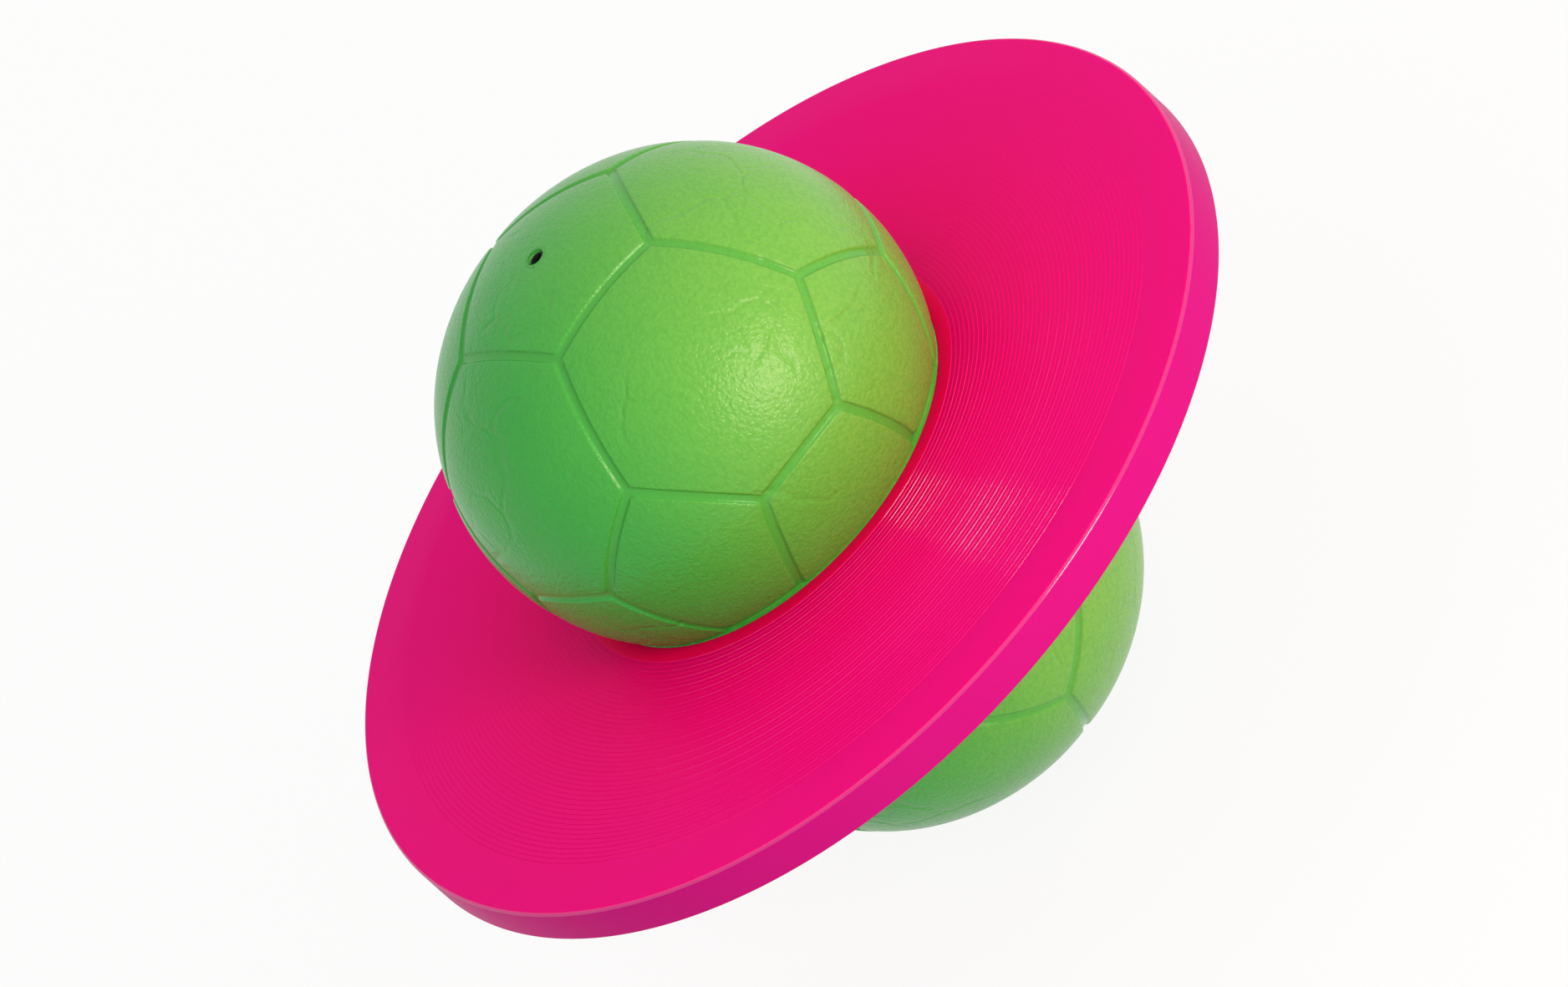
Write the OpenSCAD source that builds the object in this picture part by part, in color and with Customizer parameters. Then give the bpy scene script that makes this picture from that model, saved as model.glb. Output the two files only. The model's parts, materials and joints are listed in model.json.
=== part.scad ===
// Bouncing balance disc: a figure-eight ball gripped by a round standing deck.
// Millimetres, +Z up along the ball, origin at the lowest point of the lower lobe.

/* [Ball] */
// Widest diameter of each lobe
lobe_d = 186; // [172:1:200]
// Height of one whole lobe oval, pole to pole
lobe_h = 171; // [164:1:186]
// How much tighter the flank's radius is than half the lobe height
flank_inset = 3; // [2:0.5:6]
// Distance between the two lobe centres
lobe_spacing = 118; // [104:1:124]
// Profile radius of the hollow waist that joins the lobes
waist_hollow_r = 29.5; // [26:0.5:36]
// Wall of the moulded skin
skin_t = 4; // [3:0.5:5]

/* [Seams] */
// Width of a moulded panel seam
seam_w = 4; // [3:0.5:5]
// Depth of a moulded panel seam
seam_depth = 1.2; // [0.8:0.1:1.6]
// Angle from the pole to the corners of the panel around it
pole_ring = 31.5; // [26:0.5:36]
// Angle from the pole to the ring of corners on the shoulder
shoulder_ring = 67; // [60:0.5:72]
// Angle from the pole to the ring of corners at the widest part
middle_ring = 88.5; // [82:0.5:92]
// Angle from the pole to the ring of corners beside the deck
seat_ring = 117.5; // [112:0.5:118]
// Turn of the upper lobe's seams around the axis
seam_turn = -46.5; // [-72:0.5:72]

/* [Valve] */
// Diameter of the needle opening in the skin
valve_mouth_d = 6; // [5:0.5:7]
// Depth of that opening down to the valve plug
valve_mouth_depth = 5; // [4.5:0.5:7]
// Diameter of the rubber valve plug
plug_d = 9; // [8:0.5:11]
// Length of the rubber valve plug
plug_l = 13; // [11:0.5:16]
// Wall of the pocket that holds the plug
pocket_wall = 3; // [2:0.5:4]
// Diameter of the needle guide in the plug
needle_d = 2.4; // [2:0.1:3]
// Depth of the needle guide
needle_depth = 9; // [6:0.5:10]
// Room around the plug in its pocket
plug_gap = 0.05; // [0.03:0.01:0.1]

/* [Deck] */
// Diameter of the deck over its rim
deck_d = 385; // [350:1:420]
// Rise of the standing surface from the rim to the ball
deck_rise = 7; // [4:0.5:10]
// Thickness of the deck plate
plate_t = 4.5; // [3.5:0.5:6]
// Height of the rim wall
rim_h = 16; // [13:0.5:20]
// Thickness of the rim wall
rim_t = 4; // [3:0.5:6]
// Rounding of the rim's upper edge
rim_round = 1.5; // [1:0.5:4]
// Thickness of the collar around the waist
collar_t = 6; // [4:0.5:8]
// Clearance between the collar and the ball
grip_gap = 0.3; // [0.2:0.05:0.6]

/* [Grip] */
// Distance from one grip ridge to the next
ridge_pitch = 2; // [1.6:0.1:3]
// Depth of the grooves between the ridges
groove_depth = 0.5; // [0.3:0.1:0.8]
// Width of a groove at the standing surface
groove_w = 1.4; // [1:0.1:1.5]
// Width of the smooth land beside the ball
land_w = 6.5; // [4:0.5:10]
// Width of the smooth band inside the rim
band_w = 21; // [16:0.5:28]

/* [Ribs] */
// Number of stiffening ribs under the deck
rib_count = 32; // [30:1:40]
// Thickness of a rib
rib_t = 3; // [2:0.5:4]
// How far the ribs stop short of the rim's lower edge
rib_setback = 1; // [0.5:0.5:3]

/* [Hidden] */
$fn = 180;
// Overlap that fuses the pieces of one solid, and overshoot of cutting shapes
fuse = 1;
// Facets of the dome's very large circle, and of a seam's small round section
dome_facets = 3600;
seam_facets = 24;

// Lobe oval: flank arcs of radius flank_r, cap arcs of radius cap_r, tangent to each other
lobe_r = lobe_d / 2;
half_h = lobe_h / 2;
flank_r = half_h - flank_inset;
flank_x = lobe_r - flank_r;
cap_r = (half_h * half_h + flank_x * flank_x - flank_r * flank_r) / (2 * flank_inset);
cap_drop = cap_r - half_h;

// Heights
half_spacing = lobe_spacing / 2;
lower_z = half_h;
waist_z = lower_z + half_spacing;
upper_z = waist_z + half_spacing;
top_z = upper_z + half_h;

// Waist hollow: an arc tangent to both lobes' flanks
reach = flank_r + waist_hollow_r;
hollow_x = flank_x + sqrt(reach * reach - half_spacing * half_spacing);
seat_h = half_spacing * waist_hollow_r / reach;
seat_r = flank_x + (hollow_x - flank_x) * flank_r / reach;

// Deck: a dome through the collar's upper edge and the rim's upper edge
deck_r = deck_d / 2;
rim_top = seat_h - deck_rise;
rim_bottom = rim_top - rim_h;
dome_z = (seat_r * seat_r - deck_r * deck_r + seat_h * seat_h - rim_top * rim_top) / (2 * deck_rise);
dome_r = norm([seat_r, seat_h - dome_z]);
round_x = deck_r - rim_round;
round_z = dome_z + sqrt(pow(dome_r - rim_round, 2) - round_x * round_x);
round_tilt = asin(round_x / (dome_r - rim_round));
grip_in = seat_r + land_w;
grip_count = floor((deck_r - band_w - grip_in) / ridge_pitch);

// Valve
plug_top = top_z - valve_mouth_depth;
pocket_bottom = plug_top - plug_l;
pocket_d = plug_d + 2 * plug_gap;

// Seams: half a football's panels, drawn out over each lobe, ending in short tails at the deck
panels_round = 5;
tail_run = 8;
fold = 360 / panels_round;
middle_turn = atan2(sin(fold), 2 + cos(fold));
seat_turn = atan2(sin(fold / 2), 2 + cos(fold / 2));
tail_ring = seat_ring + tail_run;
tail_turn = (seat_turn + fold / 4) / 2;
seam_lift = (seam_w * seam_w / 4 - seam_depth * seam_depth) / (2 * seam_depth);
seam_r = seam_lift + seam_depth;
cap_tilt = atan2(flank_x, cap_drop);
cap_edge = atan2(flank_x + flank_r * sin(cap_tilt), flank_r * cos(cap_tilt));

// Ends of each kind of seam, as [angle from the pole, turn around the axis]
seam_ends = [
    [[pole_ring, 0], [pole_ring, fold]],
    [[pole_ring, 0], [shoulder_ring, 0]],
    [[shoulder_ring, 0], [middle_ring, -middle_turn]],
    [[shoulder_ring, 0], [middle_ring, middle_turn]],
    [[middle_ring, middle_turn], [middle_ring, fold - middle_turn]],
    [[middle_ring, -middle_turn], [seat_ring, -seat_turn]],
    [[middle_ring, middle_turn], [seat_ring, seat_turn]],
    [[seat_ring, -seat_turn], [seat_ring, seat_turn]],
    [[seat_ring, -seat_turn], [tail_ring, -tail_turn]],
    [[seat_ring, seat_turn], [tail_ring, tail_turn]]
];

// Distance from a lobe's centre to its surface at an angle from the pole
function lobe_reach(polar) = polar < cap_edge
    ? sqrt(cap_r * cap_r - pow(cap_drop * sin(polar), 2)) - cap_drop * cos(polar)
    : sqrt(flank_r * flank_r - pow(flank_x * cos(polar), 2)) + flank_x * sin(polar);

// Point of a seam's centre line, lifted so that its round section cuts seam_depth deep
function seam_point(end) =
    (lobe_reach(end[0]) + seam_lift)
        * [sin(end[0]) * cos(end[1]), sin(end[0]) * sin(end[1]), cos(end[0])];

function unit(v) = v / norm(v);

// Height of the standing surface over the waist plane at radius r
function dome_at(r) = dome_z + sqrt(dome_r * dome_r - r * r);

// Right half of a lobe oval around its centre, grown outwards by grow
module lobe_half(grow) {
    cap_reach = 2 * cap_r;
    intersection() {
        union() {
            translate([flank_x, 0])
                circle(flank_r + grow);
            for (side = [0, 1])
                mirror([0, side])
                    intersection() {
                        translate([0, -cap_drop])
                            circle(cap_r + grow);
                        polygon([[0, -cap_drop], [flank_x * cap_reach, cap_drop * (cap_reach - 1)],
                                 [0, cap_drop * (cap_reach - 1)]]);
                    }
        }
        translate([0, -lobe_h])
            square(2 * lobe_h);
    }
}

// Right half of the whole ball around the waist plane, grown outwards by grow
module ball_half(grow) {
    for (side = [-1, 1])
        translate([0, side * half_spacing])
            lobe_half(grow);
    difference() {
        translate([0, -seat_h])
            square([seat_r, 2 * seat_h]);
        translate([hollow_x, 0])
            circle(waist_hollow_r - grow);
    }
}

// Wall of the ball as a half section around the waist plane
module skin_half() {
    difference() {
        ball_half(0);
        ball_half(-skin_t);
    }
}

// Band of the half plane between two heights over the waist plane
module band_between(low, high) {
    translate([0, low])
        square([deck_r, high - low]);
}

// One seam from point p to point q: a round bar bent along the arc through them and their middle,
// a little longer than the arc so that the bars of neighbouring seams overlap
module seam(p, q) {
    half_way = unit(p + q);
    m = seam_point([acos(half_way.z), atan2(half_way.y, half_way.x)]);
    square_to = cross(p - m, q - m);
    lean = (q - m) * norm(p - m) ^ 2 - (p - m) * norm(q - m) ^ 2;
    centre = m + cross(lean, square_to) / (2 * norm(square_to) ^ 2);
    bend_r = norm(p - centre);
    extra = asin(fuse / bend_r);
    x = unit(p - centre);
    z = unit(cross(p - centre, q - centre));
    y = cross(z, x);
    multmatrix([[x.x, y.x, z.x, centre.x], [x.y, y.y, z.y, centre.y], [x.z, y.z, z.z, centre.z]])
        rotate(-extra)
            rotate_extrude(angle = acos(x * unit(q - centre)) + 2 * extra)
                translate([bend_r, 0])
                    circle(seam_r, $fn = seam_facets);
}

// One lobe's skin around its centre, pole upwards, with the first few kinds of seams cut in turn.
// The skin is turned so that the line where its revolution starts keeps clear of the seams' corners
module lobe(kinds) {
    if (kinds == 0)
        rotate(fold / 2)
            rotate_extrude()
                translate([0, -half_spacing])
                    intersection() {
                        skin_half();
                        band_between(seat_h, top_z);
                    }
    else
        difference() {
            lobe(kinds - 1);
            for (i = [0 : panels_round - 1])
                rotate(i * fold)
                    seam(seam_point(seam_ends[kinds - 1][0]), seam_point(seam_ends[kinds - 1][1]));
        }
}

module upper_lobe() {
    color([0.26, 0.67, 0.28])
    difference() {
        union() {
            translate([0, 0, upper_z])
                rotate(seam_turn)
                    lobe(len(seam_ends));
            translate([0, 0, pocket_bottom])
                cylinder(d = pocket_d + 2 * pocket_wall, h = top_z - skin_t / 2 - pocket_bottom);
        }
        translate([0, 0, pocket_bottom - fuse])
            cylinder(d = pocket_d, h = plug_l + fuse);
        translate([0, 0, plug_top - fuse])
            cylinder(d = valve_mouth_d, h = valve_mouth_depth + 2 * fuse);
    }
}

module waist_neck() {
    color([0.22, 0.6, 0.25])
    translate([0, 0, waist_z])
        rotate_extrude()
            intersection() {
                skin_half();
                band_between(-seat_h, seat_h);
            }
}

module lower_lobe() {
    color([0.26, 0.67, 0.28])
    translate([0, 0, lower_z])
        rotate([180, 0, 0])
            rotate(-seam_turn - fold / 2)
                lobe(len(seam_ends));
}

module valve_plug() {
    color([0.15, 0.15, 0.16])
    difference() {
        translate([0, 0, pocket_bottom])
            cylinder(d = plug_d, h = plug_l);
        translate([0, 0, plug_top - needle_depth])
            cylinder(d = needle_d, h = needle_depth + fuse);
    }
}

// Corner that the rim's rounding takes away
module rim_corner() {
    translate([round_x, round_z])
        difference() {
            polygon([[0, 0], [2 * rim_round, 0], [2 * rim_round, 2 * rim_round],
                     2 * rim_round * [sin(round_tilt), cos(round_tilt)]]);
            circle(rim_round);
        }
}

// Half section of the deck without its ribs, around the waist plane
module deck_half() {
    difference() {
        union() {
            intersection() {
                difference() {
                    translate([0, dome_z])
                        circle(dome_r, $fn = dome_facets);
                    translate([0, dome_z])
                        circle(dome_r - plate_t, $fn = dome_facets);
                }
                translate([seat_r - collar_t, rim_bottom])
                    square([deck_r - seat_r + collar_t, 2 * rim_h]);
            }
            intersection() {
                translate([0, dome_z])
                    circle(dome_r - plate_t / 2, $fn = dome_facets);
                translate([deck_r - rim_t, rim_bottom])
                    square([rim_t, rim_h]);
            }
            intersection() {
                difference() {
                    translate([hollow_x, 0])
                        circle(waist_hollow_r);
                    translate([hollow_x, 0])
                        circle(waist_hollow_r - grip_gap - collar_t);
                }
                translate([0, -seat_h])
                    square([hollow_x, 2 * seat_h - plate_t / 2]);
            }
        }
        ball_half(grip_gap);
        rim_corner();
        for (i = [0 : grip_count])
            grip_groove(grip_in + i * ridge_pitch);
    }
}

// Section of one V-shaped grip groove at radius r, square to the dome
module grip_groove(r) {
    translate([r, dome_at(r)])
        rotate(-asin(r / dome_r))
            polygon([[0, -groove_depth], [groove_w, groove_depth], [-groove_w, groove_depth]]);
}

// One rib on the +X side, rooted in the middle of the plate, the rim wall and the collar
module deck_rib() {
    waist_root = hollow_x - waist_hollow_r + grip_gap + collar_t / 2;
    edge_root = seat_r + collar_t / 2;
    rim_root = deck_r - rim_t / 2;
    rotate([90, 0, 0])
        linear_extrude(rib_t, center = true)
            polygon([[waist_root, 0], [edge_root, dome_at(edge_root) - plate_t / 2],
                     [rim_root, dome_at(rim_root) - plate_t / 2],
                     [rim_root, rim_bottom + rib_setback], [edge_root, rib_setback - seat_h]]);
}

module standing_deck() {
    color([0.89, 0.07, 0.45])
    translate([0, 0, waist_z]) {
        rotate_extrude()
            deck_half();
        for (i = [0 : rib_count - 1])
            rotate([0, 0, i * 360 / rib_count])
                deck_rib();
    }
}

standing_deck();
waist_neck();
upper_lobe();
lower_lobe();
valve_plug();
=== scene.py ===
# %% [markdown]
# # A bouncing balance disc
# The toy is a figure-eight ball of soft moulded vinyl with a round plastic deck clamped around its
# waist. A child stands on the deck, holds the upper lobe between the ankles and bounces on the lower
# one. The construction frame gives each piece its place. This lesson models how the pieces look, with
# mesh operators and node materials, in metres and in the frame's own axes.

# %% Load the frame
import json
from math import acos, asin, atan2, cos, degrees, exp, hypot, pi, radians, sin, sqrt, tau

import bmesh
import bpy
from mathutils import Matrix, Vector
from mathutils.kdtree import KDTree


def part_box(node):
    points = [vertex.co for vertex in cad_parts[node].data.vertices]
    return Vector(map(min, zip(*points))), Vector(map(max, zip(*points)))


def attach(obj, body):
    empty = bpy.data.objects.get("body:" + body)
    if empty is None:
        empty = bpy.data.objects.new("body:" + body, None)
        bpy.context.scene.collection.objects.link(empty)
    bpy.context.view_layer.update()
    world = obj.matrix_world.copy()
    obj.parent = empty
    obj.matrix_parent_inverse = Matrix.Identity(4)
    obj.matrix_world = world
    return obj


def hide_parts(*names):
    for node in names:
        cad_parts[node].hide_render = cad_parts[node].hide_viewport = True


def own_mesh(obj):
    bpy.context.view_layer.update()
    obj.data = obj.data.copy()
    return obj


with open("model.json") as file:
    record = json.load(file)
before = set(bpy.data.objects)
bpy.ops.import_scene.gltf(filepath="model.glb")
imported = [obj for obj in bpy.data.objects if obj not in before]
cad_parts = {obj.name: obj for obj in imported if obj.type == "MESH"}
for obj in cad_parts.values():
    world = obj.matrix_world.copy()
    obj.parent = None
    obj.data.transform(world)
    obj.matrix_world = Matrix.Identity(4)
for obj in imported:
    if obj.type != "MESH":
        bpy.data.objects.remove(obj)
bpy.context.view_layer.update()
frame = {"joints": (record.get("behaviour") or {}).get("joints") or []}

# %% [markdown]
# ## Where things are
# The frame knows the box of every piece. The waist lies in the middle of the neck, the seats are the
# neck's two ends, and the lower pole stands on the ground, so the heights need no typing. The radii are
# rounded to a tenth of a millimetre. What a box can't tell, such as the height of one lobe's oval, is a
# named size in millimetres.

# %% Heights and radii from the frame
MM = 0.001
neck_low, neck_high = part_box("waist_neck")
lobe_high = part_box("lower_lobe")[1]
plug_low, plug_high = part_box("valve_plug")
deck_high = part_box("standing_deck")[1]
waist_z = (neck_low.z + neck_high.z) / 2
seat_h = (neck_high.z - neck_low.z) / 2
lobe_r = round(lobe_high.x / MM, 1) * MM
deck_r = round(deck_high.x / MM, 1) * MM
print(f"waist at {waist_z:.4f} m, seats {seat_h:.4f} m from it, lobes {lobe_r:.4f} m in radius")

# %% [markdown]
# ## The camera
# The photograph was taken from far away with a long lens, and the toy leans in it. Here the toy stands
# upright, so the camera leans instead: it looks down on the deck by the same angle and is rolled until
# the deck's oval lies as in the picture. Three axes at right angles say all of this, and they also
# serve later to place the lights as the photographer saw them.

# %% Camera
LENS = 736.1
VIEW_HEIGHT = radians(31.74)
VIEW_ROLL = radians(47.94)
VIEW_DISTANCE = 11.55
VIEW_OFFSET = Vector((2.1, 2.4)) * MM
VIEW_REACH = 100

deck_middle = Vector((0, 0, waist_z))
level_right = Vector((1, 0, 0))
level_up = Vector((0, sin(VIEW_HEIGHT), cos(VIEW_HEIGHT)))
view_back = Vector((0, -cos(VIEW_HEIGHT), sin(VIEW_HEIGHT)))
view_right = level_right * cos(VIEW_ROLL) - level_up * sin(VIEW_ROLL)
view_up = level_right * sin(VIEW_ROLL) + level_up * cos(VIEW_ROLL)


def from_camera(right, up, back):
    """A direction given as the photographer sees it: to the right, upwards, and towards the camera."""
    return (view_right * right + view_up * up + view_back * back).normalized()


camera = bpy.data.objects.new("camera", bpy.data.cameras.new("camera"))
camera.data.lens = LENS
camera.data.clip_end = VIEW_REACH
turned = Matrix((view_right, view_up, view_back)).transposed().to_4x4()
stand = deck_middle + view_back * VIEW_DISTANCE - view_right * VIEW_OFFSET.x - view_up * VIEW_OFFSET.y
camera.matrix_world = Matrix.Translation(stand) @ turned
bpy.context.scene.collection.objects.link(camera)
bpy.context.scene.camera = camera
print("camera at", [round(value, 3) for value in stand])

# %% [markdown]
# ## The ball's outline
# Each lobe is an oval a little wider than high, drawn as a mould maker would: a flat arc over the pole,
# a tighter arc around the flank, and a hollow arc that runs into the other lobe at the waist. All three
# meet without a corner. A ray from the lobe's centre hits exactly one of these arcs, and the distance
# to it comes from the circle's equation, so any point of the ball can be found from two angles.

# %% Outline of the ball
LOBE_H = 171 * MM
FLANK_INSET = 3 * MM
half_h = LOBE_H / 2
flank_r = half_h - FLANK_INSET
flank_x = lobe_r - flank_r
cap_r = (half_h ** 2 + flank_x ** 2 - flank_r ** 2) / (2 * FLANK_INSET)
cap_drop = cap_r - half_h
half_spacing = waist_z - half_h
hollow_r = seat_h * flank_r / (half_spacing - seat_h)
hollow_x = flank_x + sqrt((flank_r + hollow_r) ** 2 - half_spacing ** 2)
seat_r = flank_x + (hollow_x - flank_x) * flank_r / (flank_r + hollow_r)
waist_r = hollow_x - hollow_r

cap_end = Vector((flank_x, 0)) + Vector((flank_x, cap_drop)).normalized() * flank_r
cap_edge = atan2(cap_end.x, cap_end.y)
seat_edge = atan2(seat_r, seat_h - half_spacing)
waist_edge = atan2(waist_r, -half_spacing)


def outline(polar):
    """Point (radius, height over the lobe's centre) at an angle from the pole, and the way out there."""
    if polar < cap_edge:
        centre, radius, side = Vector((0, -cap_drop)), cap_r, 1
    elif polar < seat_edge:
        centre, radius, side = Vector((flank_x, 0)), flank_r, 1
    else:
        centre, radius, side = Vector((hollow_x, -half_spacing)), hollow_r, -1
    ray = Vector((sin(polar), cos(polar)))
    along = ray.dot(centre)
    point = ray * (along + side * sqrt(radius ** 2 - centre.length_squared + along ** 2))
    return point, (point - centre) * (side / radius)


def on_ball(polar, turn, side):
    """Point of the ball's surface, and the way out there, on the upper lobe (side 1) or the lower (-1)."""
    point, out = outline(polar)
    around = Vector((cos(turn), sin(turn), 0))
    axis = Vector((0, 0, side))
    centre = deck_middle + axis * half_spacing
    return centre + around * point.x + axis * point.y, around * out.x + axis * out.y


def angles_of(place):
    """Angle from the pole, turn around the axis, and lobe, of a point in space."""
    side = 1 if place.z >= waist_z else -1
    height = side * (place.z - waist_z) - half_spacing
    return atan2(hypot(place.x, place.y), height), atan2(place.y, place.x), side


print(f"hollow radius {hollow_r / MM:.1f} mm, seat radius {seat_r / MM:.2f} mm")

# %% [markdown]
# ## Football panels
# The skin carries a football's seams: twelve pentagons and twenty hexagons. Blender has no football,
# but a twenty-sided icosphere with every corner cut off at a third of its edges is exactly that solid.
# One vertex bevel does it. The edges are then divided finely, so that a seam can bend over the ball,
# and the whole is turned until a corner of the top panel faces the way it does in the photograph.

# %% Truncated icosahedron
SEAM_TURN = radians(-46.5)
SEAM_STEPS = 20
CORNER_RINGS = 4

football = bmesh.new()
bmesh.ops.create_icosphere(football, subdivisions=1, radius=1)
bmesh.ops.bevel(football, geom=football.verts[:], offset=100 / 3, offset_type="PERCENT",
                affect="VERTICES", segments=1, profile=0.5, material=-1)
top_corner = max(football.verts, key=lambda vert: (round(vert.co.z, 4), vert.co.x))
spare_turn = SEAM_TURN - atan2(top_corner.co.y, top_corner.co.x)
bmesh.ops.rotate(football, verts=football.verts, matrix=Matrix.Rotation(spare_turn, 3, "Z"))
rings = sorted({round(acos(vert.co.normalized().z), 3) for vert in football.verts})
corner_rings = rings[:CORNER_RINGS]
bmesh.ops.subdivide_edges(football, edges=football.edges[:], cuts=SEAM_STEPS - 1)
panels = football.faces[:]
seam_edges = football.edges[:]
print(len(panels), "panels; corner rings at", [round(degrees(ring), 1) for ring in corner_rings])

# %% [markdown]
# ## Rings inside each panel
# A seam is narrow and a panel is wide, so the mesh needs many faces beside the seams and few elsewhere.
# Each panel is inset again and again without thickness, and the new inner face is drawn in towards the
# panel's middle: by small even steps across the seam's wall, then by larger and larger ones. The inner
# rings are rounded on the way, which lets the top panel end in a circle for the valve. A poke closes
# the middle.

# %% Inset rings
RINGS = 23
WALL_RINGS = 11
WALL_STEP = 0.0072
ROUNDING = 0.25
GROWTH = 1.5


def inset_share(ring):
    """Share of the panel's size that is left inside a ring."""
    if ring <= WALL_RINGS:
        return 1 - WALL_STEP * ring
    rest = (ring - WALL_RINGS) / (RINGS - WALL_RINGS)
    return (1 - WALL_STEP * WALL_RINGS) * (1 - rest ** GROWTH)


middles = [panel.calc_center_median() for panel in panels]
for ring in range(1, RINGS):
    share = inset_share(ring)
    bmesh.ops.inset_individual(football, faces=panels, thickness=0)
    for panel, middle in zip(panels, middles):
        arms = [vert.co - middle for vert in panel.verts]
        mean = sum(arm.length for arm in arms) / len(arms)
        for vert, arm in zip(panel.verts, arms):
            rounded = arm.length + (mean - arm.length) * ROUNDING * (1 - share)
            vert.co = middle + arm.normalized() * (rounded * share / inset_share(ring - 1))
bmesh.ops.poke(football, faces=panels)
print(len(football.verts), "points,", len(football.faces), "faces")

# %% [markdown]
# ## Stretching the football over the lobes
# On the toy, half a football covers each lobe and its equator lies at the waist. The panels grow from
# the pole down: the rings of corners were measured on the photograph, and between two rings the angle
# is shared out evenly. A shader could draw the seams too, but a moulded groove catches the light at its
# lips and notches the outline, so it is made in the mesh.

# %% Place every point on the ball
BALL_RINGS = [radians(ring) for ring in (31.5, 67, 88.5, 117.5)]
knots = list(zip([0, *corner_rings, pi / 2], [0, *BALL_RINGS, waist_edge]))


def stretched(polar):
    """Angle from the pole on the ball for an angle from the pole on the football."""
    for (low, new_low), (high, new_high) in zip(knots, knots[1:]):
        if polar <= high:
            return new_low + (new_high - new_low) * (polar - low) / (high - low)
    return waist_edge


for vert in football.verts:
    way = vert.co.normalized()
    side = 1 if way.z >= 0 else -1
    vert.co = on_ball(stretched(acos(min(1, abs(way.z)))), atan2(way.y, way.x), side)[0]
print("ball height", round(max(vert.co.z for vert in football.verts), 4))

# %% [markdown]
# ## Seam grooves
# A tree of points along all seams answers how far a vertex is from the nearest one. The groove has a
# flat floor, walls that rise in a smooth step, and a faint wide dip, because the panels swell a little
# between their seams. Each vertex keeps its share of the groove as an attribute, so that the finish can
# leave the floor of the seams smooth.

# %% Measure the distance to the seams
SEAM_FLOOR = 1.1 * MM
SEAM_HALF = 2.3 * MM
SEAM_DEPTH = 0.95 * MM
SWELL = 0.4 * MM
SWELL_REACH = 6 * MM
SAMPLES = 8

seam_lines = KDTree(len(seam_edges) * SAMPLES)
for edge in seam_edges:
    start, end = edge.verts
    for sample in range(SAMPLES):
        seam_lines.insert(start.co.lerp(end.co, sample / SAMPLES), sample)
seam_lines.balance()
in_seam = football.verts.layers.float.new("seam")
dip = football.verts.layers.float.new("dip")
for vert in football.verts:
    distance = seam_lines.find(vert.co)[2]
    rise = min(1, max(0, (distance - SEAM_FLOOR) / (SEAM_HALF - SEAM_FLOOR)))
    vert[in_seam] = 1 - rise * rise * (3 - 2 * rise)
    vert[dip] = SEAM_DEPTH * vert[in_seam] + SWELL * exp(-distance / SWELL_REACH)
print("points in seams:", sum(vert[in_seam] > 0.5 for vert in football.verts))

# %% [markdown]
# ## Skins with a wall
# The ball is cut at its two seats into an upper lobe, a waist and a lower lobe, because the lobes give
# way under a jump and the waist doesn't. Each cut skin gets its wall with the solidify operator while it
# is still smooth. Only then is the outer side sunk into its grooves: a groove that went through solidify
# would fold over itself on the inner side.

# %% Cut, thicken and groove
SKIN = 4 * MM
NEAR = 0.01 * MM
SHARP = radians(50)


def cut_skin(low, high):
    """Copy of the ball's smooth skin between two heights, its cut edges lying exactly on the seat."""
    skin = football.copy()
    for height, keep in ((low, 1), (high, -1)):
        bmesh.ops.bisect_plane(skin, geom=skin.verts[:] + skin.edges[:] + skin.faces[:], dist=NEAR,
                               plane_co=(0, 0, height), plane_no=(0, 0, keep), clear_inner=True)
    for vert in skin.verts:
        if vert.is_boundary:
            vert.co.xy = vert.co.xy.normalized() * seat_r
    return skin


def thicken(skin):
    """Gives the skin its wall, then sinks the seams into its outer side."""
    bmesh.ops.recalc_face_normals(skin, faces=skin.faces)
    bmesh.ops.solidify(skin, geom=skin.faces[:], thickness=SKIN)
    depth = skin.verts.layers.float["dip"]
    for vert in skin.verts:
        surface, out = on_ball(*angles_of(vert.co))
        if (vert.co - surface).length < SKIN / 2:
            vert.co -= out * vert[depth]
    skin.verts.layers.float.remove(depth)


def add_piece(name, mesh_data, material, body, node):
    """Makes a smooth object of a bmesh. It moves with a body and stands for a node of the frame."""
    mesh = bpy.data.meshes.new(name)
    mesh_data.to_mesh(mesh)
    mesh_data.free()
    mesh.shade_smooth()
    mesh.set_sharp_from_angle(angle=SHARP)
    mesh.materials.append(material)
    piece = bpy.data.objects.new(name, mesh)
    bpy.context.scene.collection.objects.link(piece)
    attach(piece, body)
    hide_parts(node)
    print(name, "has", sum(len(face.vertices) - 2 for face in mesh.polygons), "triangles")
    return piece


lower_skin = cut_skin(-lobe_r, waist_z - seat_h)
thicken(lower_skin)
waist_skin = cut_skin(waist_z - seat_h, waist_z + seat_h)
thicken(waist_skin)
upper_skin = cut_skin(waist_z + seat_h, 2 * waist_z + lobe_r)
print("skins of", [len(skin.verts) for skin in (lower_skin, waist_skin, upper_skin)], "points")

# %% [markdown]
# ## The valve mouth
# An inflating needle goes in at the upper pole. The skin dips into a small round mouth there, and below
# it a pocket holds a rubber plug. The top panel's middle is taken out, the skin is thickened, and the
# open edge is extruded step by step: over the lip, down the mouth, around the pocket, and back to the
# inner side of the skin, so the lobe stays one closed wall.

# %% Mouth and pocket
MOUTH_R = 3 * MM
LIP = 1.8 * MM
POCKET_GAP = 0.05 * MM
POCKET_WALL = 3 * MM
LIP_STEPS = 5
LEAD_IN = 0.85, 0.7
HOLE_SLACK = 0.1 * MM

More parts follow.
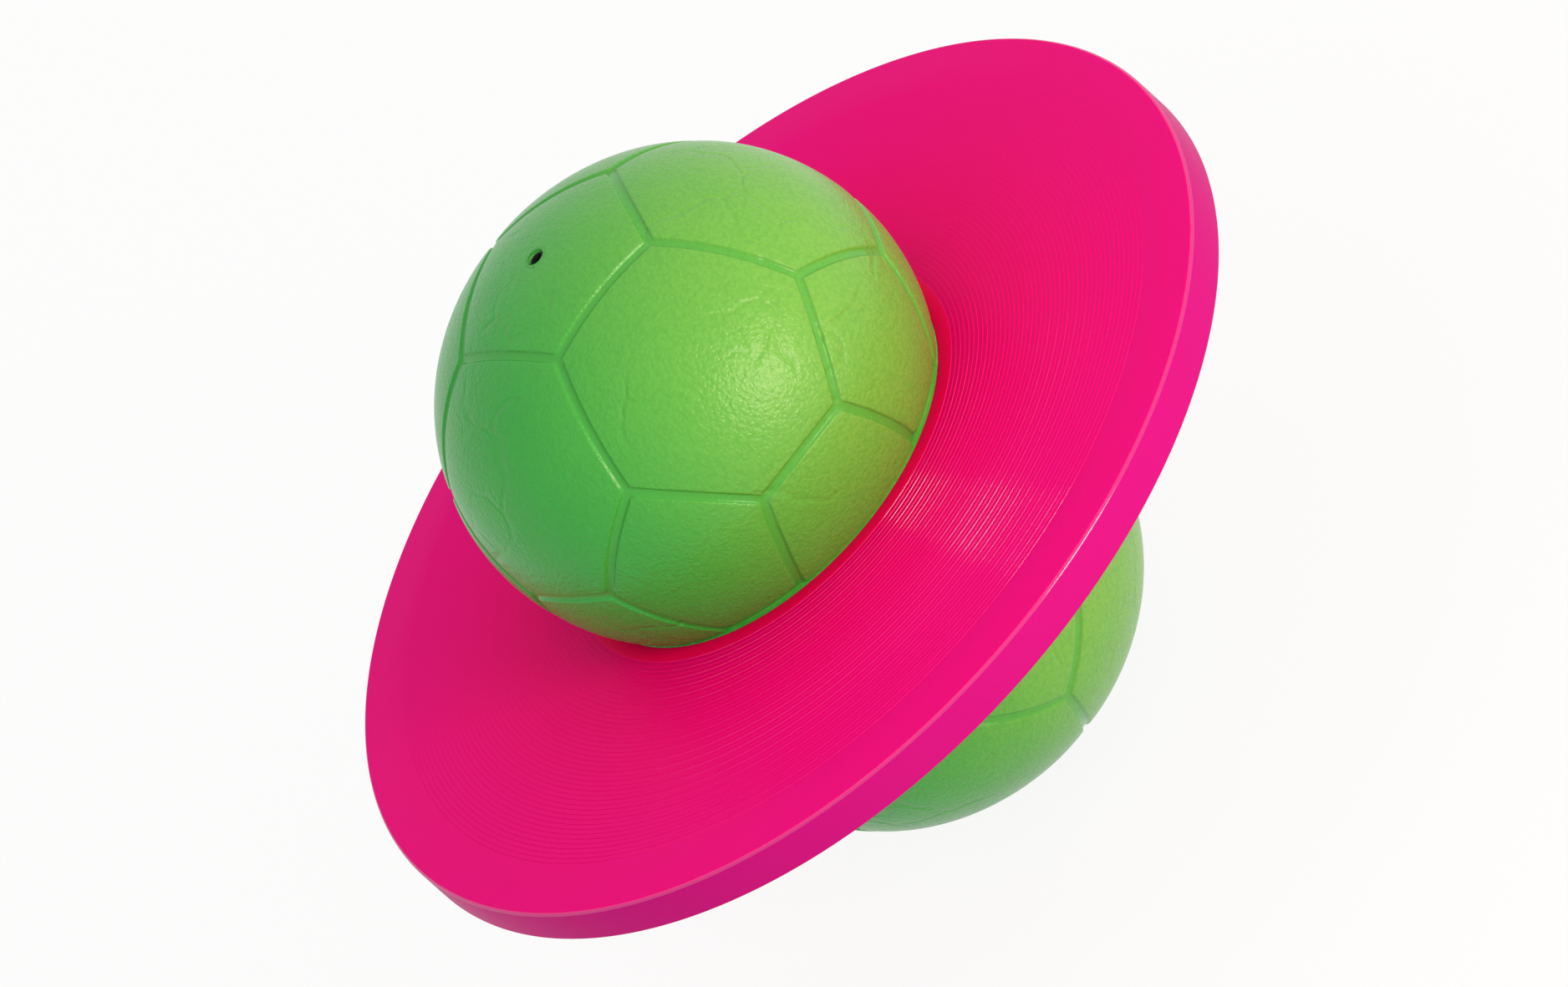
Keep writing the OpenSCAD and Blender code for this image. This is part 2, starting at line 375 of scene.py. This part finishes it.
pole = max(upper_skin.verts, key=lambda vert: vert.co.z)
mouth_ring = {other for edge in pole.link_edges for other in edge.verts} - {pole}
hole_r = max(hypot(vert.co.x, vert.co.y) for vert in mouth_ring)
bmesh.ops.delete(upper_skin, geom=[pole], context="VERTS")
thicken(upper_skin)
hole_wall = [face for face in upper_skin.faces
             if all(hypot(vert.co.x, vert.co.y) < hole_r + HOLE_SLACK for vert in face.verts)]
bmesh.ops.delete(upper_skin, geom=hole_wall, context="FACES_ONLY")
open_edges = [edge for edge in upper_skin.edges if edge.is_boundary or edge.is_wire]
middle_z = sum(edge.verts[0].co.z for edge in open_edges) / len(open_edges)
outer_loop = [edge for edge in open_edges if edge.verts[0].co.z > middle_z]
inner_loop = [edge for edge in open_edges if edge.verts[0].co.z < middle_z]


def cap_z(radius):
    """Height of the lobe's cap at a distance from the axis."""
    return waist_z + half_spacing - cap_drop + sqrt(cap_r ** 2 - radius ** 2)


pocket_r = plug_high.x + POCKET_GAP
pocket_out = pocket_r + POCKET_WALL
pocket_top = plug_high.z + POCKET_GAP
lip_z = cap_z(MOUTH_R + LIP) - LIP
route = [(share * hole_r, cap_z(share * hole_r)) for share in LEAD_IN]
for step in range(LIP_STEPS + 1):
    tilt = pi / 2 * step / LIP_STEPS
    route.append((MOUTH_R + LIP - LIP * sin(tilt), lip_z + LIP * cos(tilt)))
route += [(MOUTH_R, pocket_top), (pocket_r, pocket_top), (pocket_r, plug_low.z),
          (pocket_out, plug_low.z), (pocket_out, cap_z(hole_r) - SKIN - POCKET_WALL)]
loop = outer_loop
for radius, height in route:
    grown = bmesh.ops.extrude_edge_only(upper_skin, edges=loop)["geom"]
    loop = [item for item in grown if isinstance(item, bmesh.types.BMEdge) and item.is_boundary]
    for vert in {vert for edge in loop for vert in edge.verts}:
        vert.co = (*(vert.co.xy.normalized() * radius), height)
bmesh.ops.bridge_loops(upper_skin, edges=loop + inner_loop)
bmesh.ops.recalc_face_normals(upper_skin, faces=upper_skin.faces)
print("mouth closed:", not any(edge.is_boundary for edge in upper_skin.edges))

# %% [markdown]
# ## Shader arithmetic
# A finish is worked out from a few noises, and a formula reads better than a web of nodes. A small class
# wraps a socket: adding or multiplying two of them adds the Math node that does it. Every other node
# comes from one method, which sets the node's options first and then its values and links.

# %% Sockets that calculate
class Socket:
    """An output of a node tree that takes part in Python arithmetic."""

    def __init__(self, tree, output=None):
        self.tree = tree
        self.output = output

    def node(self, kind, settings, inputs, output=0):
        """Adds a node of a kind, with its settings, then the values or links of its sockets."""
        made = self.tree.nodes.new(kind)
        for name, value in settings.items():
            setattr(made, name, value)
        for name, value in inputs.items():
            if isinstance(value, Socket):
                self.tree.links.new(value.output, made.inputs[name])
            else:
                made.inputs[name].default_value = value
        return Socket(self.tree, made.outputs[output])

    def math(self, operation, first, second):
        """Adds a Math node."""
        return self.node("ShaderNodeMath", {"operation": operation}, {0: first, 1: second})

    def __add__(self, other):
        return self.math("ADD", self, other)

    def __sub__(self, other):
        return self.math("SUBTRACT", self, other)

    def __rsub__(self, other):
        return self.math("SUBTRACT", other, self)

    def __mul__(self, other):
        return self.math("MULTIPLY", self, other)

    __radd__ = __add__
    __rmul__ = __mul__

    def step(self, low, high):
        """Smooth step from 0 at low to 1 at high."""
        return self.node("ShaderNodeMapRange", {"interpolation_type": "SMOOTHSTEP"},
                         {"Value": self, "From Min": low, "From Max": high})

    def mix(self, first, second):
        """Colour between two colours, by this factor."""
        return self.node("ShaderNodeMix", {"data_type": "RGBA"},
                         {"Factor": self, 6: first, 7: second}, output=2)

    def noise(self, scale, detail=2.0):
        """Noise of a scale per metre, read along this vector."""
        return self.node("ShaderNodeTexNoise", {}, {"Vector": self, "Scale": scale, "Detail": detail})

    def along(self, way):
        """How far this vector reaches along a direction."""
        return self.node("ShaderNodeVectorMath", {"operation": "DOT_PRODUCT"}, {0: self, 1: way},
                         output="Value")

    def bent(self, scale, reach):
        """This vector, pushed about by a noise of a scale per metre, as far as reach."""
        push = self.node("ShaderNodeTexNoise", {}, {"Vector": self, "Scale": scale}, output="Color")
        return self.node("ShaderNodeVectorMath", {"operation": "MULTIPLY_ADD"},
                         {0: push, 1: (reach, reach, reach), 2: self})


def new_finish(name, constants):
    """A material with a Principled shader. Its socket starts expressions, its shader takes the results."""
    material = bpy.data.materials.new(name)
    material.use_nodes = True
    shader = material.node_tree.nodes["Principled BSDF"]
    for socket, value in constants.items():
        shader.inputs[socket].default_value = value
    return material, Socket(material.node_tree), shader


def feed(shader, socket, value):
    """Links what was worked out to a socket of the shader."""
    value.tree.links.new(value.output, shader.inputs[socket])


print("arithmetic ready")

# %% [markdown]
# ## Soft vinyl
# The ball's skin is satin vinyl with a fine leather grain and a few faint creases from the mould. The
# grain is a pebble pattern, cells about a millimetre across between fine valleys, roughened by noise.
# The valleys are a little darker, partly the grain's own tone and partly painted shade, so the grain shows
# in flat light too. The creases are the borders of large bent cells, shown only here and there. Light and
# shade are painted into the colour across the ball: a deeper green on the shaded side runs into a yellower
# one on the side the softbox lights. The seam floors are smooth and carry painted shade, greener where the
# ball is painted yellow. The seam attribute on the mesh tells where they are.

# %% Vinyl finish
# Painted light and shade across the ball: where it runs from and to, and its shaded and lit greens.
PAINTED_LIGHT_FROM = -35 * MM
PAINTED_LIGHT_TO = 95 * MM
PAINTED_SHADE_GREENS = (0.016, 0.345, 0.035, 1), (0.030, 0.382, 0.041, 1)
PAINTED_LIGHT_GREENS = (0.152, 0.432, 0.048, 1), (0.186, 0.468, 0.056, 1)
VALLEY_TONE_AND_SHADE_GREEN = (0.048, 0.310, 0.028, 1)
SEAM_SHADE_GREEN = (0.044, 0.365, 0.036, 1)
PEBBLES_PER_M = 640
CREASES_PER_M = 26
GRAIN_DEPTH = 0.4 * MM
# The way across the ball along which the painted light runs.
painted_light_way = Vector((view_right.x, view_right.y, 0)).normalized()


def vinyl_finish():
    material, start, shader = new_finish("green_vinyl", {"Specular IOR Level": 0.37})
    place = start.node("ShaderNodeTexCoord", {}, {}, output="Object")
    seam = start.node("ShaderNodeAttribute", {"attribute_name": "seam"}, {}, output="Fac")
    cloud = place.noise(14, 3)
    fleck = place.noise(420, 3)
    pebble = place.node("ShaderNodeTexVoronoi", {"feature": "SMOOTH_F1"},
                        {"Vector": place.bent(500, 1.2 * MM), "Scale": PEBBLES_PER_M})
    border = place.node("ShaderNodeTexVoronoi", {"feature": "DISTANCE_TO_EDGE"},
                        {"Vector": place.bent(30, 30 * MM), "Scale": CREASES_PER_M})
    crease = (1 - border.step(0.0, 0.05)) * place.noise(22).step(0.48, 0.6)
    grain = 0.8 * place.noise(900, 3) - pebble * 0.7
    mottle = (cloud * 0.7 + fleck * 0.3).step(0.3, 0.7)
    # Painted light: yellower on the side the softbox lights, deeper green on the shaded side.
    painted_light = place.along(painted_light_way).step(PAINTED_LIGHT_FROM, PAINTED_LIGHT_TO)
    colour = painted_light.mix(mottle.mix(*PAINTED_SHADE_GREENS), mottle.mix(*PAINTED_LIGHT_GREENS))
    # Darker valleys: partly the grain's own tone, partly painted shade in its hollows.
    colour = (pebble.step(0.3, 0.6) * 0.2).mix(colour, VALLEY_TONE_AND_SHADE_GREEN)
    # Painted shade on the seam floors, greener where the painted light is yellow.
    colour = (seam * 0.5).mix(colour, SEAM_SHADE_GREEN)
    feed(shader, "Base Color", colour)
    feed(shader, "Roughness", 0.22 + 0.06 * cloud + 0.05 * fleck - 0.03 * seam)
    height = grain * (1 - seam * 0.85) - crease * 0.9
    bump = start.node("ShaderNodeBump", {}, {"Height": height, "Strength": 0.8, "Distance": GRAIN_DEPTH})
    feed(shader, "Normal", bump)
    return material


vinyl = vinyl_finish()
print(vinyl.name, "has", len(vinyl.node_tree.nodes), "nodes")

# %% [markdown]
# ## The ball's three pieces
# All three ride with the waist. The share of the upper lobe's height that its press joint would leave,
# squashed towards its seat, is worked out from the joint's travel and from how far the pole lies beyond
# the seat.

# %% Ball pieces
UPPER_ANCHOR = waist_z + seat_h
lobe_reach = 2 * waist_z - UPPER_ANCHOR
joints = {joint["name"]: joint for joint in frame["joints"]}
travel = max(map(abs, joints["upper_lobe_press"]["range_m"]))
KEPT = 1 - travel / lobe_reach
upper = add_piece("upper_lobe_skin", upper_skin, vinyl, "ball_waist", "upper_lobe")
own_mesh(upper)
lower = add_piece("lower_lobe_skin", lower_skin, vinyl, "ball_waist", "lower_lobe")
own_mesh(lower)
add_piece("waist_skin", waist_skin, vinyl, "ball_waist", "waist_neck")

# %% [markdown]
# ## The deck
# The deck is a turned shape: a gently domed plate with fine rings for grip, a rounded rim with a skirt,
# and a collar that hugs the waist. Each ring rises slowly and drops steeply towards the rim, as a turned
# mould leaves it, and the steep sides catch the light as thin lines. The half section is drawn as one
# closed outline, its corners are rounded with a vertex bevel, and spin turns it around the axis.
# use_merge closes the turn.

# %% Half section of the deck
DECK_RISE = 7 * MM
RIM_H = 16 * MM
RIM_T = 4 * MM
RIM_ROUND = 1.5 * MM
PLATE_T = 4.5 * MM
COLLAR_T = 6 * MM
COLLAR_LOW = radians(-30)
COLLAR_DROP = 3 * MM
GRIP_GAP = 0.3 * MM
LAND_W = 6.5 * MM
BAND_W = 21 * MM
RIDGE_PITCH = 2 * MM
RIDGE_H = 0.22 * MM
WALL_RUN = 0.095 * MM
RIDGE_WAVE = 21.5
WAVE_START = 4
RIDGE_SHINE = 0.38
SHINE_LOSS = 0.4
COLLAR_STEPS = 8
DECK_STEPS = 288

rim_top = seat_h - DECK_RISE
rim_bottom = rim_top - RIM_H
dome_z = (seat_r ** 2 - deck_r ** 2 + seat_h ** 2 - rim_top ** 2) / (2 * DECK_RISE)
dome_r = hypot(seat_r, seat_h - dome_z)
grip_in = seat_r + LAND_W
ridge_count = int((deck_r - BAND_W - grip_in) / RIDGE_PITCH) + 1
collar_top = asin(seat_h / (hollow_r - GRIP_GAP))


def dome_at(radius, sink=0):
    """Point of the standing surface, over the waist plane, sunk by some depth."""
    return radius, dome_z + sqrt((dome_r - sink) ** 2 - radius ** 2)


def collar_side(radius):
    """Points of an arc around the hollow's centre, from the collar's lower edge to its upper one."""
    span = collar_top - COLLAR_LOW
    tilts = [COLLAR_LOW + span * step / COLLAR_STEPS for step in range(COLLAR_STEPS + 1)]
    return [(hollow_x - radius * cos(tilt), radius * sin(tilt)) for tilt in tilts]


def outline_ring(points):
    """A flat face in the XZ plane through points (radius, height)."""
    section = bmesh.new()
    section.faces.new([section.verts.new((radius, 0, height)) for radius, height in points])
    return section


def ridge_shine(index):
    """Polish of a ridge's outer wall: in waves, less towards the rim, and strong on every second ring."""
    wave = 0.6 + 0.4 * cos(tau * (index - WAVE_START) / RIDGE_WAVE)
    by_turns = 0.6 + 0.4 * cos(pi * index)
    return RIDGE_SHINE * wave * by_turns * (1 - SHINE_LOSS * index / ridge_count)


collar_in = collar_side(hollow_r - GRIP_GAP)
collar_out = collar_side(hollow_r - GRIP_GAP - COLLAR_T)
collar_stop = dome_at(seat_r, PLATE_T)[1] - COLLAR_DROP
collar_out = [point for point in collar_out if point[1] < collar_stop]
top_side = []
for index in range(ridge_count):
    crest = grip_in + index * RIDGE_PITCH
    top_side += [dome_at(crest), dome_at(crest + WALL_RUN, RIDGE_H)]
top_side.append(dome_at(grip_in + ridge_count * RIDGE_PITCH))
rim_corner = (deck_r, dome_at(deck_r)[1])
rim = [dome_at(deck_r - BAND_W / 2), dome_at(deck_r - RIM_ROUND - RIM_T / 8), rim_corner,
       (deck_r, rim_corner[1] - RIM_ROUND - RIM_T / 8)]
skirt = [(deck_r, rim_bottom), (deck_r - RIM_T, rim_bottom), dome_at(deck_r - RIM_T, PLATE_T)]
plate_root = dome_at(collar_out[-1][0] + COLLAR_T, PLATE_T)
deck_outline = collar_in + top_side + rim + skirt + [plate_root] + collar_out[::-1]
print(ridge_count, "ridges,", len(deck_outline), "points in the half section")

# %% Turn the deck
ROUNDS = 4
FOOT_ROUND = 1.2 * MM
SEAT_ROUND = 0.5 * MM
ROOT_ROUND = 2.5 * MM
MERGE_GAP = 0.001 * MM
STEEP = 0.15, 0.9
RIM_SHINE = 0.65
deck = outline_ring(deck_outline)


def corners(section, *points):
    """Vertices of a section at given points (radius, height)."""
    return [vert for vert in section.verts for point in points
            if hypot(vert.co.x - point[0], vert.co.z - point[1]) < NEAR]


def round_corners(section, radius, segments, *points):
    """Rounds a section's corners at given points (radius, height)."""
    bmesh.ops.bevel(section, geom=corners(section, *points), offset=radius, offset_type="OFFSET",
                    affect="VERTICES", segments=segments, profile=0.5, material=-1)


round_corners(deck, RIM_ROUND, 2 * ROUNDS, rim_corner)
round_corners(deck, FOOT_ROUND, ROUNDS, *skirt[:2], collar_in[0], collar_out[0])
round_corners(deck, SEAT_ROUND, ROUNDS, collar_in[-1])
round_corners(deck, ROOT_ROUND, ROUNDS, skirt[2], plate_root)
bmesh.ops.delete(deck, geom=deck.faces[:], context="FACES_ONLY")
bmesh.ops.translate(deck, verts=deck.verts, vec=deck_middle)
bmesh.ops.spin(deck, geom=deck.verts[:] + deck.edges[:], cent=(0, 0, 0), axis=(0, 0, 1), angle=tau,
               steps=DECK_STEPS, use_merge=True)
bmesh.ops.remove_doubles(deck, verts=deck.verts, dist=MERGE_GAP)
bmesh.ops.recalc_face_normals(deck, faces=deck.faces)
polish = deck.faces.layers.float.new("polish")
for face in deck.faces:
    radius = face.calc_center_median().xy.length
    index = (radius - grip_in) // RIDGE_PITCH
    steep = index >= 0 and STEEP[0] < face.normal.z < STEEP[1]
    face[polish] = steep * (ridge_shine(index) if index < ridge_count else RIM_SHINE)
print("deck closed:", not any(edge.is_boundary for edge in deck.edges))

# %% [markdown]
# ## Ribs under the deck
# Thin ribs run from the collar to the skirt and keep the plate stiff. One rib is a flat outline extruded
# to its thickness, and spin with use_duplicate copies it around the axis. Each rib ends inside the
# plate, the skirt and the collar, as on a moulding where they are one.

# %% Ribs
RIB_COUNT = 32
RIB_T = 3 * MM
RIB_SETBACK = 1 * MM
RIB_ROUND = 0.5 * MM
waist_root = (waist_r + GRIP_GAP + COLLAR_T / 2, 0)
edge_root = seat_r + COLLAR_T / 2
rim_root = deck_r - RIM_T / 2
ribs = outline_ring([waist_root, dome_at(edge_root, PLATE_T / 2), dome_at(rim_root, PLATE_T / 2),
                     (rim_root, rim_bottom + RIB_SETBACK), (edge_root, RIB_SETBACK - seat_h)])
grown = bmesh.ops.extrude_face_region(ribs, geom=ribs.faces[:])["geom"]
far_side = [item for item in grown if isinstance(item, bmesh.types.BMVert)]
bmesh.ops.translate(ribs, verts=far_side, vec=(0, RIB_T, 0))
bmesh.ops.translate(ribs, verts=ribs.verts, vec=deck_middle - Vector((0, RIB_T / 2, 0)))
bmesh.ops.recalc_face_normals(ribs, faces=ribs.faces)
bmesh.ops.bevel(ribs, geom=ribs.edges[:], offset=RIB_ROUND, offset_type="OFFSET", affect="EDGES",
                segments=2, profile=0.5, material=-1)
bmesh.ops.spin(ribs, geom=ribs.verts[:] + ribs.edges[:] + ribs.faces[:], cent=(0, 0, 0), axis=(0, 0, 1),
               angle=tau * (RIB_COUNT - 1) / RIB_COUNT, steps=RIB_COUNT - 1, use_duplicate=True)
rib_mesh = bpy.data.meshes.new("ribs")
ribs.to_mesh(rib_mesh)
ribs.free()
deck.from_mesh(rib_mesh)
bpy.data.meshes.remove(rib_mesh)
print(RIB_COUNT, "ribs joined to the deck")

# %% [markdown]
# ## Moulded pink plastic
# The deck is a pink injection moulding, redder towards the ball and pinker towards the rim. The smooth
# land around the ball is painted red as painted shade under the ball, and the skirt is painted deeper as
# painted shade against the softbox that lights it. The flats hardly shine. The steep sides of the grip
# rings and the rounded rim, which the mould maker polishes, carry a clear coat, and the mesh says with an
# attribute which faces they are.

# %% Plastic finish
INNER_PINK = (0.89, 0.001, 0.145, 1)
OUTER_PINK = (0.81, 0.003, 0.205, 1)
# The land's red is painted shade under the ball.
LAND_SHADE_RED = (1.00, 0.000, 0.075, 1)
# The skirt's darker pink is painted shade against the softbox that lights it.
SKIRT_SHADE_PINK = (0.54, 0.006, 0.195, 1)
TONE_START = 20 * MM
CLOUDING = 0.3
LAND_SHADE_BLUR = 0.6 * MM
SKIRT_SHADE_BLUR = 1 * MM


def plastic_finish():
    shine = {"Specular IOR Level": 0.02, "Coat Roughness": 0.13, "Coat IOR": 1.8}
    material, start, shader = new_finish("pink_plastic", shine)
    place = start.node("ShaderNodeTexCoord", {}, {}, output="Object")
    polish = start.node("ShaderNodeAttribute", {"attribute_name": "polish"}, {}, output="Fac")
    flat = place.node("ShaderNodeVectorMath", {"operation": "MULTIPLY"}, {0: place, 1: (1, 1, 0)})
    radius = flat.node("ShaderNodeVectorMath", {"operation": "LENGTH"}, {0: flat}, output="Value")
    cloud = place.noise(9, 3)
    speck = place.noise(600, 2)
    tone = radius.step(seat_r - TONE_START, deck_r) + cloud * CLOUDING - CLOUDING / 2
    colour = tone.mix(INNER_PINK, OUTER_PINK)
    # Painted shade: the smooth land under the ball is painted red.
    land_shade = 1 - radius.step(grip_in - LAND_SHADE_BLUR, grip_in)
    colour = (land_shade * 0.85).mix(colour, LAND_SHADE_RED)
    # Painted shade on the skirt, darker against the softbox that lights it.
    colour = radius.step(deck_r - SKIRT_SHADE_BLUR, deck_r).mix(colour, SKIRT_SHADE_PINK)
    feed(shader, "Base Color", colour)
    feed(shader, "Roughness", 0.30 + 0.10 * cloud + 0.06 * speck)
    feed(shader, "Coat Weight", polish * (0.75 + 0.25 * cloud))
    return material


add_piece("pink_deck", deck, plastic_finish(), "deck", "standing_deck")

# %% [markdown]
# ## The valve plug
# A short rubber plug sits in the pocket under the mouth, and a thin sleeve on it lines the mouth, which is
# why the opening looks black. Below the sleeve a funnel guides the needle. The plug is turned whole.

# %% Rubber finish and plug
NEEDLE_R = 1.2 * MM
NEEDLE_DEPTH = 9 * MM
FUNNEL = 0.8 * MM
SLEEVE_T = 0.4 * MM
SLEEVE_SINK = 1.2 * MM
PLUG_ROUND = 0.5 * MM
PLUG_STEPS = 48
RUBBER_BLACK = (0.012, 0.012, 0.013, 1)
RUBBER_DUST = (0.04, 0.04, 0.042, 1)


def rubber_finish():
    material, start, shader = new_finish("black_rubber", {"Specular IOR Level": 0.3})
    place = start.node("ShaderNodeTexCoord", {}, {}, output="Object")
    dust = place.noise(900, 3)
    feed(shader, "Base Color", dust.step(0.35, 0.8).mix(RUBBER_BLACK, RUBBER_DUST))
    feed(shader, "Roughness", 0.55 + 0.25 * dust)
    return material


plug_r = plug_high.x
plug_top = plug_high.z
sleeve_r = MOUTH_R - POCKET_GAP
sleeve_in = sleeve_r - SLEEVE_T
sleeve_top = cap_z(0) - SLEEVE_SINK
plug = outline_ring([(0, plug_low.z), (plug_r, plug_low.z), (plug_r, plug_top), (sleeve_r, plug_top),
                     (sleeve_r, sleeve_top), (sleeve_in, sleeve_top), (sleeve_in, plug_top),
                     (NEEDLE_R, plug_top - FUNNEL), (NEEDLE_R, plug_top - NEEDLE_DEPTH),
                     (0, plug_top - NEEDLE_DEPTH)])
round_corners(plug, PLUG_ROUND, ROUNDS, (plug_r, plug_low.z), (plug_r, plug_top))
round_corners(plug, SLEEVE_T / 3, ROUNDS, (sleeve_r, sleeve_top), (sleeve_in, sleeve_top))
bmesh.ops.delete(plug, geom=plug.faces[:], context="FACES_ONLY")
axis_edges = [edge for edge in plug.edges if all(vert.co.x < NEAR for vert in edge.verts)]
bmesh.ops.delete(plug, geom=axis_edges, context="EDGES")
bmesh.ops.spin(plug, geom=plug.verts[:] + plug.edges[:], cent=(0, 0, 0), axis=(0, 0, 1), angle=tau,
               steps=PLUG_STEPS, use_merge=True)
bmesh.ops.remove_doubles(plug, verts=plug.verts, dist=MERGE_GAP)
bmesh.ops.recalc_face_normals(plug, faces=plug.faces)
add_piece("rubber_valve", plug, rubber_finish(), "upper_lobe", "valve_plug")

# %% [markdown]
# ## Light and floor
# One large warm softbox from the right gives the sheen on the ball, the streaks on the grip rings and the
# bright line along the rim. A surrounding that is brighter on that side and dimmer on the other fills the
# rest. The floor is pale and keeps a faint shadow. To the camera and to reflections both look white.

# %% World
BACKDROP = (1, 1, 1, 1)
DIM_SIDE = (0.78, 0.68, 0.70, 1)
BRIGHT_SIDE = (0.92, 0.92, 0.88, 1)


def seen_directly(start):
    """1 for rays of the camera, of reflections and of transmission, 0 for light that falls on things."""
    path = start.node("ShaderNodeLightPath", {}, {}, output="Is Camera Ray")
    outputs = path.output.node.outputs
    kinds = "Is Camera Ray", "Is Glossy Ray", "Is Transmission Ray"
    shown = [Socket(start.tree, outputs[kind]) for kind in kinds]
    return shown[0].math("MAXIMUM", shown[0], shown[0].math("MAXIMUM", shown[1], shown[2]))


world = bpy.data.worlds.new("studio")
world.use_nodes = True
bpy.context.scene.world = world
air = Socket(world.node_tree)
background = world.node_tree.nodes["Background"]
bright_way = from_camera(0.5, 0.75, 0.45)
way = air.node("ShaderNodeTexCoord", {}, {}, output="Generated")
ambient = way.along(bright_way).step(-1, 1).mix(DIM_SIDE, BRIGHT_SIDE)
feed(background, "Color", seen_directly(air).mix(ambient, BACKDROP))
print("world", world.name)

# %% Softbox
KEY_DISTANCE = 2.2
KEY_WIDTH = 0.9
KEY_HEIGHT = 0.68
KEY_POWER = 29
KEY_COLOUR = (1, 0.80, 0.64)
key_way = from_camera(0.50, 0.19, 0.845)
key = bpy.data.objects.new("softbox", bpy.data.lights.new("softbox", "AREA"))
key.data.shape = "ELLIPSE"
key.data.size = KEY_WIDTH
key.data.size_y = KEY_HEIGHT
key.data.energy = KEY_POWER
key.data.color = KEY_COLOUR
key.location = deck_middle + key_way * KEY_DISTANCE
key.rotation_mode = "QUATERNION"
key.rotation_quaternion = (-key_way).to_track_quat("-Z", "Y")
bpy.context.scene.collection.objects.link(key)
print("softbox at", [round(value, 2) for value in key.location])

# %% Floor
FLOOR_HALF = 30
FLOOR_GREY = (0.9, 0.9, 0.9, 1)
FLOOR_GLOW = 0.9
floor_bm = bmesh.new()
bmesh.ops.create_grid(floor_bm, x_segments=1, y_segments=1, size=FLOOR_HALF)
floor_mesh = bpy.data.meshes.new("floor")
floor_bm.to_mesh(floor_mesh)
floor_bm.free()
floor = bpy.data.objects.new("floor", floor_mesh)
bpy.context.scene.collection.objects.link(floor)
floor_paint = bpy.data.materials.new("pale_floor")
floor_paint.use_nodes = True
floor_mesh.materials.append(floor_paint)
tree = floor_paint.node_tree
tree.nodes.remove(tree.nodes["Principled BSDF"])
paint = Socket(tree)
matt = paint.node("ShaderNodeBsdfDiffuse", {}, {"Color": FLOOR_GREY})
glow = paint.node("ShaderNodeEmission", {}, {"Color": BACKDROP, "Strength": 1.0})
mixed = paint.node("ShaderNodeMixShader", {}, {0: seen_directly(paint) * FLOOR_GLOW, 1: matt, 2: glow})
tree.links.new(mixed.output, tree.nodes["Material Output"].inputs["Surface"])
bpy.context.scene.view_settings.view_transform = "Standard"
print("floor reaches", FLOOR_HALF, "m")
